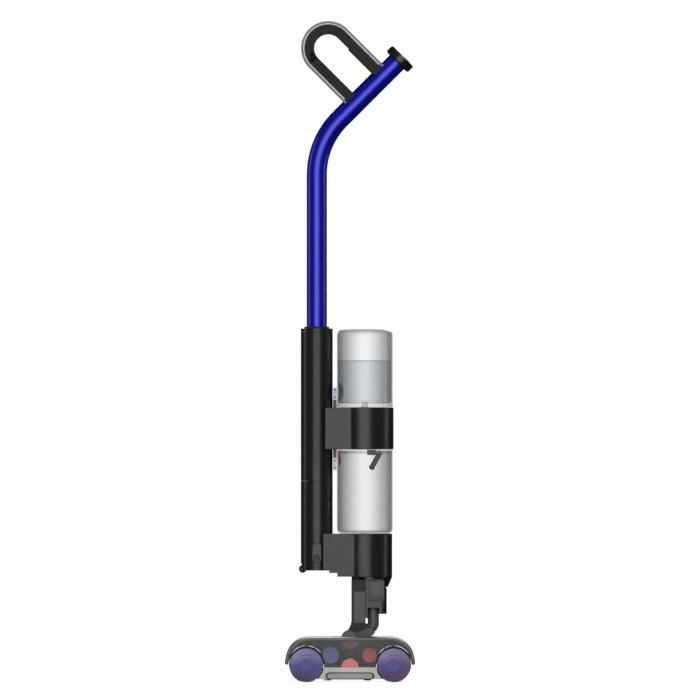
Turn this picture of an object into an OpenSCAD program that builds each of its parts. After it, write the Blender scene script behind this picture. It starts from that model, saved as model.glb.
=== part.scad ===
// Upright wet and dry floor scrubber: roller head, hinged neck, body with two tanks, wand and loop handle.
// Millimetres, +Z up, the front of the machine faces +X and the floor is at z = 0.

/* [Floor head] */
// Length of the floor head from rear to front
head_length = 225; // [190:1:280]
// Width of the floor head from side to side
head_width = 300; // [240:1:380]
// Height of the flat top of the cover
cover_top = 77; // [72:0.5:95]
// Radius of the rear and front shoulders of the cover
shoulder_r = 44; // [40:0.5:46]
// Wall thickness of the cover
cover_wall = 5; // [4:0.5:6]
// Height of the cover's lower edges
cover_lip = 31; // [26:0.5:40]

/* [Rollers] */
// Radius of a main roller over its sleeve
roller_r = 30; // [27:0.5:31]
// Pile thickness of the main sleeve
pile = 8; // [5:0.5:9]
// Radius of an inner roller
inner_r = 15; // [12:0.5:16]
// Distance between a main and an inner roller along the head
inner_offset = 42.1; // [38:0.1:45]
// Teeth on a main roller gear
main_teeth = 32; // [24:1:40]
// Teeth on an inner roller gear
inner_teeth = 24; // [18:1:32]

/* [Debris tray] */
// Height of the tray's flat underside
tray_bottom = 5.5; // [3:0.5:9]
// Height of the tray's top edge
tray_top = 26.4; // [22:0.2:28]
// Wall thickness of the tray
tray_wall = 2; // [1.2:0.2:3]

/* [Hinge and neck] */
// Height of the hinge axis
hinge_z = 73.4; // [70:0.2:90]
// Radius of the hinge cheeks
cheek_r = 15.3; // [12:0.1:18]
// Radius of the hinge pin
hinge_pin_r = 5; // [4:0.5:7]
// Half width of the neck arm
arm_half = 20.8; // [16:0.2:24]
// Distance of the swivel axis in front of the hinge
swivel_x = 34; // [30:0.5:40]
// Radius of the swivel spigot
spigot_r = 14.5; // [11:0.5:16]

/* [Body] */
// Height of the underside of the body
base_z = 181.1; // [170:0.5:200]
// Radius of the round spine
spine_r = 27.5; // [24:0.5:32]
// Distance of the tank axis in front of the hinge
tank_x = 25.5; // [20:0.5:32]
// Radius of the two tanks
tank_r = 48; // [42:0.5:56]
// Open gap between the spine and the tanks
tank_gap = 7.3; // [6:0.1:12]
// Height of the base block
base_h = 74; // [65:0.5:90]
// Height of the dirty water tank
dirty_h = 145.3; // [120:0.5:180]
// Height of the collar between the tanks
collar_h = 72.5; // [60:0.5:90]
// Height of the clean water tank
clean_h = 136.2; // [110:0.5:170]
// Half width across the flat flanks between spine and tanks
flank_half = 43; // [38:0.5:47]
// Wall thickness of the body shells
shell = 2.5; // [1.8:0.1:3.5]
// Radius of the clean tank's valve bore
valve_r = 5; // [3:0.5:6]
// Radius of the dirty tank's inlet
inlet_r = 4; // [3:0.5:5]

/* [Wand and handle] */
// Radius of the wand tube
tube_r = 17.5; // [14:0.5:20]
// Straight length of the wand above the spine
wand_h = 265.4; // [200:1:340]
// Wall thickness of the wand tube
tube_wall = 2; // [1.2:0.1:3]
// Bend radius of the wand
bend_r = 136; // [100:1:180]
// Straight length of the wand above the bend
neck_tube_l = 138.8; // [130:0.5:180]
// Distance from the bend to the middle of the loop
loop_s = 72; // [60:0.5:90]
// Distance from the tube axis to the centre of the loop's arc
loop_reach = 100.4; // [85:0.5:130]
// Outer radius of the loop's arc
loop_r = 47; // [40:0.5:50]
// Width of the loop's band
loop_band = 22.8; // [18:0.2:26]
// Depth of the loop from side to side
loop_depth = 28; // [20:1:34]
// Radius of the display puck
display_r = 26; // [22:0.5:32]
// Thickness of the display puck
display_h = 15; // [12:0.5:20]

/* [Fits] */
// Radial clearance of running bores
run = 0.1; // [0.05:0.01:0.2]
// Gap between parts that are screwed or clipped together
seam = 0.1; // [0.05:0.05:0.3]
// Air gap between parts that move past each other
air = 0.4; // [0.3:0.1:1]

/* [Hidden] */
$fn = 64;
big = 2000;
roller_z = roller_r;
roller_x = head_length / 2 - cover_wall - 2 - roller_r;
core_r = roller_r - pile;
core_bore = core_r - 3;
inner_x = roller_x - inner_offset;
centre_d = roller_r + inner_r + 0.4;
inner_z = roller_z + sqrt(centre_d * centre_d - inner_offset * inner_offset);
mesh_angle = atan2(inner_z - roller_z, inner_x - roller_x);
tooth = 2 * centre_d / (main_teeth + inner_teeth);
shoulder_x = head_length / 2 - shoulder_r;
shoulder_z = cover_top - shoulder_r;
ceiling = cover_top - cover_wall;
half_w = head_width / 2;
window_in = half_w - 8;
window_out = half_w - 4;
roll_lo = -half_w + 12;
roll_hi = half_w - 17;
gear_hi = half_w - 12.4;
plate_lo = half_w - 11.4;
deck_z = ceiling - 4;
deck_top = ceiling - 0.4;
well_x0 = -32;
well_x1 = 46;
well_y = 35;
cheek_y0 = 26.9;
cheek_y1 = 33.5;
arm_top = base_z - 4.2;
base_top = base_z + base_h;
base_seam = base_z + 18.8;
base_r = tank_r - 0.8;
collar_r = tank_r + 1.6;
spine_x = tank_x - tank_r - tank_gap - spine_r;
spine_z0 = base_z + 10.5;
spine_z1 = base_top + dirty_h + collar_h + clean_h;
spine_in = spine_r - shell;
collar_z0 = base_top + dirty_h;
collar_z1 = collar_z0 + collar_h;
cover_seam = base_top + 91;
wand_z1 = spine_z1 + wand_h;
bend_x = spine_x + bend_r;
tip_x = bend_x - bend_r * cos(45);
tip_z = wand_z1 + bend_r * sin(45);
post_x = (spine_x + spine_r + tank_x - tank_r) / 2;
clean_button_z = collar_z1 + 24;
dirty_button_z = collar_z0 - 25.4;
button_y = -17;
hose_x = spine_x + 13.3;
hose_y = 12;
hose_r = 3.5;
port_z = base_z + 41;
wheel_x = spine_x - 24.3;
wheel_z = base_z + 13.1;
wheel_r = 6.7;
spout_x = tank_x + 28.3;
inlet_x = spout_x - 16;
lap = 0.5;

// ---------- shared shapes ----------

// A profile drawn in x and z, given thickness from y0 to y1.
module slab(y0, y1) {
  translate([0, y1, 0])
    rotate([90, 0, 0])
      linear_extrude(y1 - y0)
        children();
}

// A cylinder along y.
module rod_y(x, z, r, y0, y1) {
  translate([x, y1, z])
    rotate([90, 0, 0])
      cylinder(r = r, h = y1 - y0);
}

// A cylinder along z.
module rod_z(x, y, r, z0, z1) {
  translate([x, y, z0])
    cylinder(r = r, h = z1 - z0);
}

// A box given by its two corners.
module span(x0, x1, y0, y1, z0, z1) {
  translate([x0, y0, z0])
    cube([x1 - x0, y1 - y0, z1 - z0]);
}

// A stadium outline centred on a point, w long and h high.
module pill(x, z, w, h) {
  translate([x, z]) {
    if (w > h) {
      square([w - h, h], center = true);
      for (s = [-1, 1])
        translate([s * (w - h) / 2, 0])
          circle(r = h / 2);
    } else {
      square([w, h - w], center = true);
      for (s = [-1, 1])
        translate([0, s * (h - w) / 2])
          circle(r = w / 2);
    }
  }
}

// The arch of the cover, shrunk inward by c and cut off below z0.
module arch(c, z0) {
  intersection() {
    union() {
      for (s = [-1, 1])
        translate([s * shoulder_x, shoulder_z])
          circle(r = shoulder_r - c, $fn = 96);
      translate([-shoulder_x, z0])
        square([2 * shoulder_x, cover_top - c - z0]);
      translate([-head_length / 2 + c, z0])
        square([head_length - 2 * c, shoulder_z - z0]);
    }
    translate([-head_length, z0])
      square([2 * head_length, big]);
  }
}

// Outline of the tray, hollowed on both sides by the main rollers.
module tray_outline(wall, z0, z1) {
  difference() {
    translate([-roller_x + 17, z0])
      square([2 * roller_x - 34, z1 - z0]);
    for (s = [-1, 1])
      translate([s * roller_x, roller_z])
        circle(r = roller_r + 0.7 + wall, $fn = 96);
  }
}

// A spur gear outline with one tooth, or one gap, on the given angle.
module gear(teeth, angle, gap) {
  pitch = tooth * teeth / 2;
  step = 360 / teeth;
  low = pitch - 1.3 * tooth;
  high = pitch + 0.85 * tooth;
  circle(r = low + 0.05, $fn = 96);
  for (i = [0:teeth - 1])
    rotate(angle + (i + gap / 2) * step)
      polygon([
        [low - 1, -low * sin(0.24 * step)],
        [pitch, -pitch * sin(0.19 * step)],
        [high, -high * sin(0.09 * step)],
        [high, high * sin(0.09 * step)],
        [pitch, pitch * sin(0.19 * step)],
        [low - 1, low * sin(0.24 * step)]
      ]);
}

// Plan outline of the body: a half round front and straight sides back to x0.
module body_plan(r, x0, w) {
  translate([tank_x, 0])
    circle(r = r, $fn = 96);
  translate([x0, -w])
    square([tank_x - x0, 2 * w]);
}

// A round cup profile of radius r and height h with its closed end at 0 and a rounded corner c.
module cup_profile(r, h, c) {
  translate([0, c])
    square([r, h - c]);
  square([r - c, h]);
  intersection() {
    translate([r - c, c])
      circle(r = c);
    square([r, h]);
  }
}

// Half of the spine tube, front when s is 1 and rear when s is -1.
module half_spine(s, z0, z1) {
  intersection() {
    difference() {
      rod_z(spine_x, 0, spine_r, z0, z1);
      rod_z(spine_x, 0, spine_in, z0 - 1, z1 + 1);
    }
    if (s > 0)
      span(spine_x + seam / 2, spine_x + big, -big, big, z0, z1);
    else
      span(spine_x - big, spine_x - seam / 2, -big, big, z0, z1);
  }
}

// Stadium prism of the charging port, grown by c.
module port_block(c, y0, y1) {
  slab(y0, y1)
    pill(spine_x, port_z, 16 + 2 * c, 36 + 2 * c);
}

// Frame whose z runs up the sloping wand and whose -x points at the loop.
module wand_frame() {
  translate([tip_x, 0, tip_z])
    rotate([0, 45, 0])
      children();
}

// U shaped outline of the loop between two radii, arms running back to the tube.
module loop_outline(ro, ri) {
  translate([-loop_reach, loop_s])
    difference() {
      union() {
        circle(r = ro, $fn = 96);
        translate([0, -ro])
          square([loop_reach - 10, 2 * ro]);
      }
      circle(r = ri, $fn = 96);
      translate([0, -ri])
        square([loop_reach, 2 * ri]);
    }
}

// ---------- floor head ----------

module head_cover() {
  color("dimgray")
    difference() {
      slab(-half_w, half_w)
        arch(0, cover_lip);
      slab(-half_w - 1, half_w + 1)
        arch(cover_wall, cover_lip - 1);
      span(well_x0, well_x1, -well_y, well_y, ceiling - 1, cover_top + 1);
    }
}

module deck_outline() {
  difference() {
    translate([-shoulder_x - 2, deck_z])
      square([2 * shoulder_x + 4, deck_top - deck_z]);
    translate([0, hinge_z])
      circle(r = cheek_r + 0.3);
  }
  intersection() {
    difference() {
      translate([0, hinge_z])
        circle(r = cheek_r + 3);
      translate([0, hinge_z])
        circle(r = cheek_r + 0.3);
    }
    translate([-big / 2, 0])
      square([big, deck_top]);
  }
}

module head_chassis() {
  color("darkslategray")
    difference() {
      union() {
        slab(-half_w + 14, half_w - 17)
          deck_outline();
        slab(-half_w + 14, plate_lo)
          intersection() {
            deck_outline();
            translate([0, hinge_z])
              circle(r = cheek_r + 3);
          }
        span(-4, 4, -half_w + 14, plate_lo, tray_top - 4.6, hinge_z - cheek_r - 1);
        span(-10, 10, -half_w + 14, half_w - 17, tray_top - 4.6, tray_top - 2.4);
        span(-8, 8, -half_w + 14, -half_w + 32, tray_top + 0.6, tray_top + 15);
        for (s = [-1, 1])
          for (y = [-half_w + 40, 0, half_w - 40])
            translate([s * (roller_x - 4), y, deck_z - 2.2])
              cube([9, 6, 6], center = true);
      }
      span(well_x0 - 2.3, well_x1 + 2.3, -well_y - 2.3, well_y + 2.3, hinge_z - 18.5, cover_top);
      for (s = [-1, 1])
        rod_y(s * roller_x, deck_z - 2.3, 3.55, -half_w, half_w);
      rod_y(0, tray_top + 7.2, 4 + run, -half_w, -half_w + 28);
    }
}

module window_outline() {
  difference() {
    arch(cover_wall + seam, cover_lip);
    for (s = [-1, 1])
      translate([s * roller_x, roller_z])
        circle(r = roller_r + 0.6, $fn = 96);
  }
  difference() {
    translate([-inner_x - 13.6, tray_top + 0.3])
      square([2 * inner_x + 27.2, 6]);
    for (s = [-1, 1])
      translate([s * roller_x, roller_z])
        circle(r = roller_r + 0.6, $fn = 96);
  }
}

module end_windows() {
  color("slategray", 0.6)
    union() {
      difference() {
        slab(-window_out, -window_in)
          difference() {
            window_outline();
            translate([0, tray_top + 0.1])
              circle(r = 15.4);
          }
        for (s = [-1, 1])
          rod_y(s * inner_x, inner_z, 3 + run, -window_in - 2.6, -window_in + 1);
      }
      slab(window_in + seam, window_out)
        window_outline();
    }
}

module drive_end_plate() {
  color("black")
    difference() {
      slab(plate_lo, window_in) {
        window_outline();
        for (s = [-1, 1])
          translate([s * roller_x, roller_z])
            circle(r = core_bore);
        tray_outline(0, tray_bottom, tray_top + 1);
      }
      for (s = [-1, 1])
        rod_y(s * inner_x, inner_z, 3 + run, plate_lo - 1, window_in - 0.8);
    }
}

module roller_motors() {
  color("silver")
    for (s = [-1, 1])
      difference() {
        union() {
          rod_y(s * roller_x, roller_z, core_bore - 4, 20, plate_lo);
          rod_y(s * roller_x, roller_z, core_bore - run, roll_hi - 8, roll_hi);
        }
        rod_y(s * roller_x, roller_z, 3 + run, 19, 30);
      }
}

module spray_bars() {
  color("lightsteelblue")
    for (s = [-1, 1])
      difference() {
        rod_y(s * roller_x, deck_z - 2.3, 3.5, -half_w + 16, half_w - 19);
        rod_y(s * roller_x, deck_z - 2.3, 2.2, -half_w + 18, half_w - 21);
        for (i = [-4:4])
          rod_z(s * roller_x, i * (half_w - 20) / 5, 0.8, deck_z - 7, deck_z - 2.3);
      }
}

module squeegees() {
  color("black")
    for (s = [-1, 1])
      translate([s * (roller_x - 15) - 1.5, -half_w + 14, roller_z + 27.3])
        cube([3, head_width - 34, deck_z - roller_z - 27.3]);
}

module hinge_beam() {
  color("indianred")
    for (y = [[-half_w + 11, -well_y - 2.3], [well_y + 2.3, half_w - 20]])
      slab(y[0], y[1])
        intersection() {
          translate([0, hinge_z])
            circle(r = cheek_r);
          translate([-big / 2, 0])
            square([big, deck_top]);
        }
}

module well_outline(c) {
  polygon([
    [well_x0 - 2 + c, deck_top + c],
    [well_x0 - 2 + c, inner_z + inner_r + air + c],
    [-18 + c, inner_z + inner_r + air + c],
    [-18 + c, hinge_z - 18.4 + c],
    [18 - c, hinge_z - 18.4 + c],
    [18 - c, inner_z + inner_r + air + c],
    [well_x1 + 2 - c, inner_z + inner_r + air + c],
    [well_x1 + 2 - c, deck_top + c]
  ]);
}

module hinge_yoke() {
  color("gray")
    difference() {
      union() {
        difference() {
          slab(-well_y - 2, well_y + 2)
            well_outline(0);
          slab(-well_y, well_y)
            well_outline(2);
        }
        for (y = [-cheek_y1, cheek_y0])
          slab(y, y + cheek_y1 - cheek_y0) {
            translate([0, hinge_z])
              circle(r = cheek_r);
            translate([-cheek_r, hinge_z - 17.4])
              square([2 * cheek_r, 17.4]);
          }
      }
      rod_y(0, hinge_z, hinge_pin_r + 0.02, -cheek_y1 - 1, cheek_y1 + 1);
    }
}

module hinge_pin() {
  color("silver")
    difference() {
      union() {
        rod_y(0, hinge_z, hinge_pin_r, -cheek_y1 - 1.1, cheek_y1 + 1.1);
        for (y = [-cheek_y1 - 1.1, cheek_y1])
          rod_y(0, hinge_z, hinge_pin_r + 3, y, y + 1.1);
      }
      rod_y(0, hinge_z, hinge_pin_r - 1.6, -cheek_y1 - 2, cheek_y1 + 2);
    }
}

module upright_stop() {
  color("black")
    slab(-cheek_y0 + 1, cheek_y0 - 1)
      polygon([
        [18, inner_z + inner_r + air + 2],
        [39, inner_z + inner_r + air + 2],
        [39, hinge_z + 4.4],
        [34, hinge_z + 4.4],
        [18, hinge_z - 1.8]
      ]);
}

// ---------- rollers ----------

module roller_core(s) {
  difference() {
    union() {
      rod_y(s * roller_x, roller_z, core_r, roll_lo, roll_hi);
      slab(roll_hi - 0.01, gear_hi)
        translate([s * roller_x, roller_z])
          gear(main_teeth, s > 0 ? mesh_angle : 180 - mesh_angle, 0);
    }
    rod_y(s * roller_x, roller_z, core_bore, roll_lo - 1, 8);
    rod_y(s * roller_x, roller_z, core_bore, 12, gear_hi + 1);
  }
  rod_y(s * roller_x, roller_z, 3, 11, 28);
}

module roller_sleeve(s) {
  difference() {
    rod_y(s * roller_x, roller_z, roller_r, roll_lo, roll_hi - 1);
    rod_y(s * roller_x, roller_z, core_r, roll_lo - 1, roll_hi);
  }
}

module roller_cap(s) {
  difference() {
    union() {
      rod_y(s * roller_x, roller_z, roller_r - 1, roll_lo - 2.4, roll_lo);
      rod_y(s * roller_x, roller_z, core_bore, roll_lo - 0.1, roll_lo + 9);
      rod_y(s * roller_x, roller_z, 13, roll_lo - 3.4, roll_lo);
    }
    difference() {
      rod_y(s * roller_x, roller_z, 20, roll_lo - 5, roll_lo - 1.4);
      rod_y(s * roller_x, roller_z, 18, roll_lo - 6, roll_lo);
    }
    rod_y(s * roller_x, roller_z, 7, roll_lo - 5, roll_lo - 1.4);
  }
}

module rear_roller_core() {
  color("dimgray")
    roller_core(-1);
}

module rear_roller_sleeve() {
  color("mediumpurple")
    roller_sleeve(-1);
}

module rear_roller_cap() {
  color("slateblue")
    roller_cap(-1);
}

module front_roller_core() {
  color("dimgray")
    roller_core(1);
}

module front_roller_sleeve() {
  color("mediumpurple")
    roller_sleeve(1);
}

module front_roller_cap() {
  color("slateblue")
    roller_cap(1);
}

module inner_core(s) {
  rod_y(s * inner_x, inner_z, 8, roll_lo - 1.5, roll_hi + 0.2);
  rod_y(s * inner_x, inner_z, 3, -window_in - 2.3, window_in - 1);
  slab(roll_hi, gear_hi)
    translate([s * inner_x, inner_z])
      gear(inner_teeth, s > 0 ? mesh_angle + 180 : -mesh_angle, 1);
}

module rear_inner_core() {
  color("dimgray")
    inner_core(-1);
}

module rear_inner_sleeve() {
  color("steelblue")
    difference() {
      rod_y(-inner_x, inner_z, inner_r, roll_lo, roll_hi - 1);
      rod_y(-inner_x, inner_z, 8, roll_lo - 1, roll_hi);
    }
}

module front_inner_core() {
  color("dimgray")
    inner_core(1);
}

module front_inner_sleeve() {
  color("indianred")
    slab(roll_lo, roll_hi - 1)
      translate([inner_x, inner_z])
        difference() {
          intersection() {
            square(inner_r * 1.74, center = true);
            circle(r = inner_r);
          }
          circle(r = 8);
        }
}

// ---------- debris tray ----------

module debris_tray() {
  color("silver")
    difference() {
      slab(-half_w + 0.5, roll_hi)
        tray_outline(0, tray_bottom, tray_top);
      difference() {
        slab(-half_w + 5, roll_hi - tray_wall)
          tray_outline(tray_wall, tray_bottom + tray_wall, tray_top + 1);
        span(-14, 14, -half_w, half_w, 0, cover_top);
      }
      span(-12, 12, -half_w + 5, half_w, tray_bottom + tray_wall, tray_top - 2);
      span(-4.6, 4.6, -half_w + 5, half_w, tray_bottom + tray_wall, tray_top + 1);
      slab(-half_w - 1, -half_w + 3.5)
        pill(0, tray_bottom + 6, 85.4, 10);
    }
}

module tray_handle() {
  color("gray")
    union() {
      slab(-half_w + 0.2, -half_w + 2.2)
        pill(0, tray_bottom + 6, 79, 9.6);
      span(-30, 30, -half_w + 2, -half_w + 3.5, tray_bottom + 4.5, tray_bottom + 7.5);
    }
}

module tray_feet() {
  color("black")
    for (x = [-38.8, 30])
      for (y = [-half_w + 12, half_w - 50])
        translate([x, y, tray_bottom - 0.8])
          cube([12, 16, 1.6], center = true);
}

module tray_button() {
  color("firebrick")
    union() {
      slab(-half_w + 1.5, -half_w + 7)
        intersection() {
          translate([0, tray_top + 0.1])
            circle(r = 15);
          translate([-20, tray_top + air])
            square([40, 40]);
        }
      rod_y(0, tray_top + 7.2, 4, -half_w + 6.9, -half_w + 22);
    }
}

// ---------- hinged neck ----------

module neck_arm() {
  color("dimgray")
    difference() {
      union() {
        slab(-arm_half, arm_half)
          polygon([
            [-12.9, hinge_z - 0.5],
            [-2.5, hinge_z + 17],
            [1.2, hinge_z + 24],
            [2.5, hinge_z + 31],
            [2.5, arm_top],
            [26.8, arm_top],
            [26.8, hinge_z + 12],
            [12.9, hinge_z - 0.5]
          ]);
        rod_y(0, hinge_z, 13, -arm_half, arm_half);
      }
      rod_y(0, hinge_z, hinge_pin_r + run, -arm_half - 1, arm_half + 1);
    }
}

module neck_side_panels() {
  color("gray")
    for (s = [-1, 1])
      translate([6.8, s * (arm_half + 0.75) - 0.75, hinge_z + 28])
        cube([19.3, 1.5, arm_top - hinge_z - 49]);
}

module neck_links() {
  color("darkslategray")
    for (s = [-1, 1])
      difference() {
        slab(s > 0 ? arm_half + 0.1 : -cheek_y0 + air, s > 0 ? cheek_y0 - air : -arm_half - 0.1)
          translate([0, hinge_z])
            rotate(21)
              pill(18.9, 0, 37.8 + 15.4, 15.4);
        rod_y(0, hinge_z, hinge_pin_r + run, -cheek_y0 - 1, cheek_y0 + 1);
      }
}

module neck_duct() {
  color("gray") {
    rod_z(40.35, 0, 9.65, hinge_z + 28.2, hinge_z + 53.4);
    translate([29.35, 0, hinge_z + 28.21])
      rotate([90, 0, 0])
        rotate([0, 0, -90])
          rotate_extrude(angle = 90)
            translate([11, 0])
              circle(r = 9.65);
    translate([26.8, 0, hinge_z + 17.21])
      rotate([0, 90, 0])
        cylinder(r = 9.65, h = 2.56);
  }
}

module neck_housing() {
  color("black")
    difference() {
      intersection() {
        union() {
          rod_z(swivel_x, 0, 29.3, hinge_z + 36, base_z - 20);
          rod_z(swivel_x, 0, 28.2, hinge_z + 36, arm_top);
        }
        span(26.8, swivel_x + 40, -arm_half, arm_half, 0, big);
      }
      span(30.7, 50, -big, big, 0, hinge_z + 53.6);
      span(50, big, -big, big, 0, hinge_z + 43.3);
      rod_z(40.35, 0, 8, 0, big);
    }
}

module neck_turret() {
  color("black")
    difference() {
      union() {
        rod_z(swivel_x, 0, 31.2, arm_top, base_z - air);
        rod_z(swivel_x, 0, spigot_r, arm_top, base_z + 10);
        rod_z(swivel_x, 0, spigot_r + 3, base_z + 3.3, base_z + 6);
      }
      rod_z(40.35, 0, 8, 0, big);
    }
}

// ---------- body ----------

module base_lower_cover() {
  color("dimgray")
    difference() {
      intersection() {
        translate([0, 0, base_z])
          linear_extrude(base_seam - base_z)
            body_plan(base_r, spine_x + 11.3, flank_half);
        slab(-big, big)
          polygon([
            [-big, base_z + 10.5],
            [-35.8, base_z + 10.5],
            [-35.8, base_z + 6.5],
            [-22, base_z + 6.5],
            [-22, base_z],
            [big, base_z],
            [big, base_seam],
            [-big, base_seam]
          ]);
      }
      intersection() {
        translate([0, 0, base_z + 2.9])
          linear_extrude(big)
            body_plan(base_r - shell, spine_x + 11.3 + shell, flank_half - shell);
        slab(-big, big)
          polygon([
            [-35.8 + shell, base_z + 9.4],
            [-22 + shell, base_z + 9.4],
            [-22 + shell, base_z + 2.9],
            [big, base_z + 2.9],
            [big, big],
            [-35.8 + shell, big]
          ]);
      }
      rod_z(spine_x, 0, spine_r + seam, 0, big);
      rod_z(swivel_x, 0, spigot_r + run, 0, base_z + 5);
      for (s = [-1, 1])
        for (x = [0, 60])
          rod_z(x, s * 26, 1.6, 0, base_z + 5);
      for (s = [-1, 1])
        for (x = [0, 60])
          rod_z(x, s * 26, 3.1, 0, base_z + 1);
    }
}

module base_housing() {
  color("dimgray")
    difference() {
      union() {
        difference() {
          translate([0, 0, base_seam + seam])
            linear_extrude(base_top - base_seam - seam)
              body_plan(base_r, spine_x + 11.3, flank_half);
          translate([0, 0, base_seam])
            linear_extrude(base_top - base_seam - 4)
              difference() {
                body_plan(base_r - shell, spine_x + 11.3 + shell, flank_half - shell);
                translate([spine_x, 0])
                  circle(r = spine_r + shell);
              }
        }
      }
      rod_z(spine_x, 0, spine_r + seam, 0, big);
      span(spine_x, spine_x + spine_r + shell + 6, -17, 17, base_z + 24, base_z + 56);
      rod_z(tank_x, 0, 12, base_top - 1, base_top + 1);
    }
}

module base_skirt() {
  color("black")
    translate([swivel_x, 0, base_z])
      rotate([0, 0, -30])
        rotate_extrude(angle = 60)
          polygon([
            [28.8, -18],
            [31.3, -18],
            [39, 0],
            [32, 0],
            [32, -9]
          ]);
}

module base_screws() {
  color("silver")
    for (s = [-1, 1])
      for (x = [0, 60]) {
        rod_z(x, s * 26, 2.9, base_z - 0.2, base_z + 1);
        rod_z(x, s * 26, 1.5, base_z + 0.9, base_z + 4.5);
      }
}

module water_pumps() {
  color("silver")
    for (s = [-1, 1])
      union() {
        rod_z(-8, s * 22, 11, base_top - 42, base_top - 4);
        rod_z(-8, s * 22, 7, base_top - 50, base_top - 41);
      }
}

module hose(s, end_x) {
  z0 = base_z + 50;
  z1 = collar_z0 + 30;
  rod_z(hose_x, s * hose_y, hose_r, z0, z1);
  translate([hose_x + 10, s * hose_y, z0])
    rotate([90, 0, 0])
      rotate([0, 0, 180])
        rotate_extrude(angle = 90)
          translate([10, 0])
            circle(r = hose_r);
  translate([hose_x + 10, s * hose_y, z0 - 10])
    rotate([0, 90, 0])
      cylinder(r = hose_r, h = -18.4 - hose_x - 8);
  translate([hose_x + 10, s * hose_y, z1])
    rotate([90, 0, 0])
      rotate([0, 0, 90])
        rotate_extrude(angle = 90)
          translate([10, 0])
            circle(r = hose_r);
  translate([hose_x + 10, s * hose_y, z1 + 10])
    rotate([0, 90, 0])
      cylinder(r = hose_r, h = end_x - hose_x - 10);
}

module hoses() {
  color("lightgray") {
    hose(-1, tank_x - 6);
    hose(1, inlet_x);
  }
}

module spine_front_shell() {
  color("dimgray")
    difference() {
      union() {
        half_spine(1, spine_z0, spine_z1 - 4.9);
        difference() {
          rod_z(spine_x, 0, spine_r, spine_z1 - 5, spine_z1);
          rod_z(spine_x, 0, tube_r + seam, 0, big);
        }
      }
      port_block(0.15, -big, -20);
      span(spine_x, spine_x + big, -17, 17, base_z + 24, base_z + 56);
      span(spine_x, spine_x + big, -17, 17, collar_z0 + 26, collar_z0 + 54);
    }
}

module spine_rear_shell() {
  color("dimgray")
    difference() {
      half_spine(-1, spine_z0, cover_seam);
      port_block(0.15, -big, -20);
      span(-big, spine_x - 12, -9.2, 9.2, 0, wheel_z + 9);
    }
}

module battery_cover() {
  color("dimgray")
    half_spine(-1, cover_seam + 0.3, spine_z1 - 5.1);
}

module battery_pack() {
  color("royalblue") {
    for (s = [-1, 1])
      for (i = [0:2])
        rod_z(spine_x - 8.7, s * 9.6, 9.1, cover_seam + 12 + i * 67, cover_seam + 77.2 + i * 67);
    for (i = [0:3])
      translate([spine_x - 8.7, 0, cover_seam + 11.1 + i * 67])
        cube([14, 34, 2], center = true);
  }
}

module main_board() {
  color("darkgreen")
    union() {
      span(spine_x + 3, spine_x + 4.6, -14, 14, collar_z0 + 70, collar_z0 + 155);
      for (i = [0:3])
        span(spine_x + 4.5, spine_x + 7.5, -8, 6, collar_z0 + 76 + i * 19, collar_z0 + 86 + i * 19);
    }
}

module spine_bottom_cap() {
  color("black")
    union() {
      difference() {
        rod_z(spine_x, 0, spine_in - seam, spine_z0, spine_z0 + 3.4);
        span(-big, wheel_x + 8, -6, 6, 0, big);
      }
      for (s = [-1, 1])
        slab(s > 0 ? 5.6 : -8.8, s > 0 ? 8.8 : -5.6) {
          translate([wheel_x, wheel_z])
            circle(r = 3.6);
          translate([wheel_x, spine_z0])
            square([12, 5]);
        }
      rod_y(wheel_x, wheel_z, 1.9, -5.7, 5.7);
    }
}

module rear_wheel() {
  color("black")
    difference() {
      rod_y(wheel_x, wheel_z, wheel_r, -5.1, 5.1);
      rod_y(wheel_x, wheel_z, 1.9 + run, -6, 6);
    }
}

module charging_port() {
  color("black")
    difference() {
      port_block(0, -spine_r - 0.8, -20);
      rod_y(spine_x, port_z - 8.2, 4, -spine_r - 2, -21);
    }
}

module collar_housing() {
  color("dimgray")
    difference() {
      translate([0, 0, collar_z0 + 0.3])
        linear_extrude(collar_h - 0.3)
          body_plan(collar_r, spine_x + 14.4, flank_half);
      translate([0, 0, collar_z0 + 3])
        linear_extrude(collar_h - 8)
          difference() {
            body_plan(collar_r - shell, spine_x + 14.4 + shell, flank_half - shell);
            translate([spine_x, 0])
              circle(r = spine_r + shell);
          }
      rod_z(spine_x, 0, spine_r + seam, 0, big);
      span(spine_x, spine_x + spine_r + shell + 6, -17, 17, collar_z0 + 26, collar_z0 + 54);
      rod_z(tank_x, 0, valve_r + 3, collar_z1 - 20, big);
      rod_z(inlet_x, 0, inlet_r - 0.5, 0, collar_z0 + 10);
    }
}

module latch_posts() {
  color("black")
    difference() {
      union() {
        translate([post_x, 0, collar_z1 + 16.5])
          cube([tank_gap - 0.9, 24, 33], center = true);
        translate([post_x, 0, collar_z0 - 17.15])
          cube([tank_gap - 0.9, 24, 34.9], center = true);
      }
      for (z = [clean_button_z, dirty_button_z])
        rod_y(post_x, z, 2 + run, -20, -2);
    }
}

module latch_button(z) {
  slab(button_y, button_y + 2.2)
    pill(post_x + 0.2, z, 8.6, 22);
  rod_y(post_x, z, 2, button_y + 2.1, button_y + 12);
}

module clean_tank_button() {
  color("royalblue")
    latch_button(clean_button_z);
}

module dirty_tank_button() {
  color("firebrick")
    latch_button(dirty_button_z);
}

// ---------- wand and handle ----------

// Annulus of outer radius r and wall w.
module ring(r, w) {
  difference() {
    circle(r = r);
    circle(r = r - w);
  }
}

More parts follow.
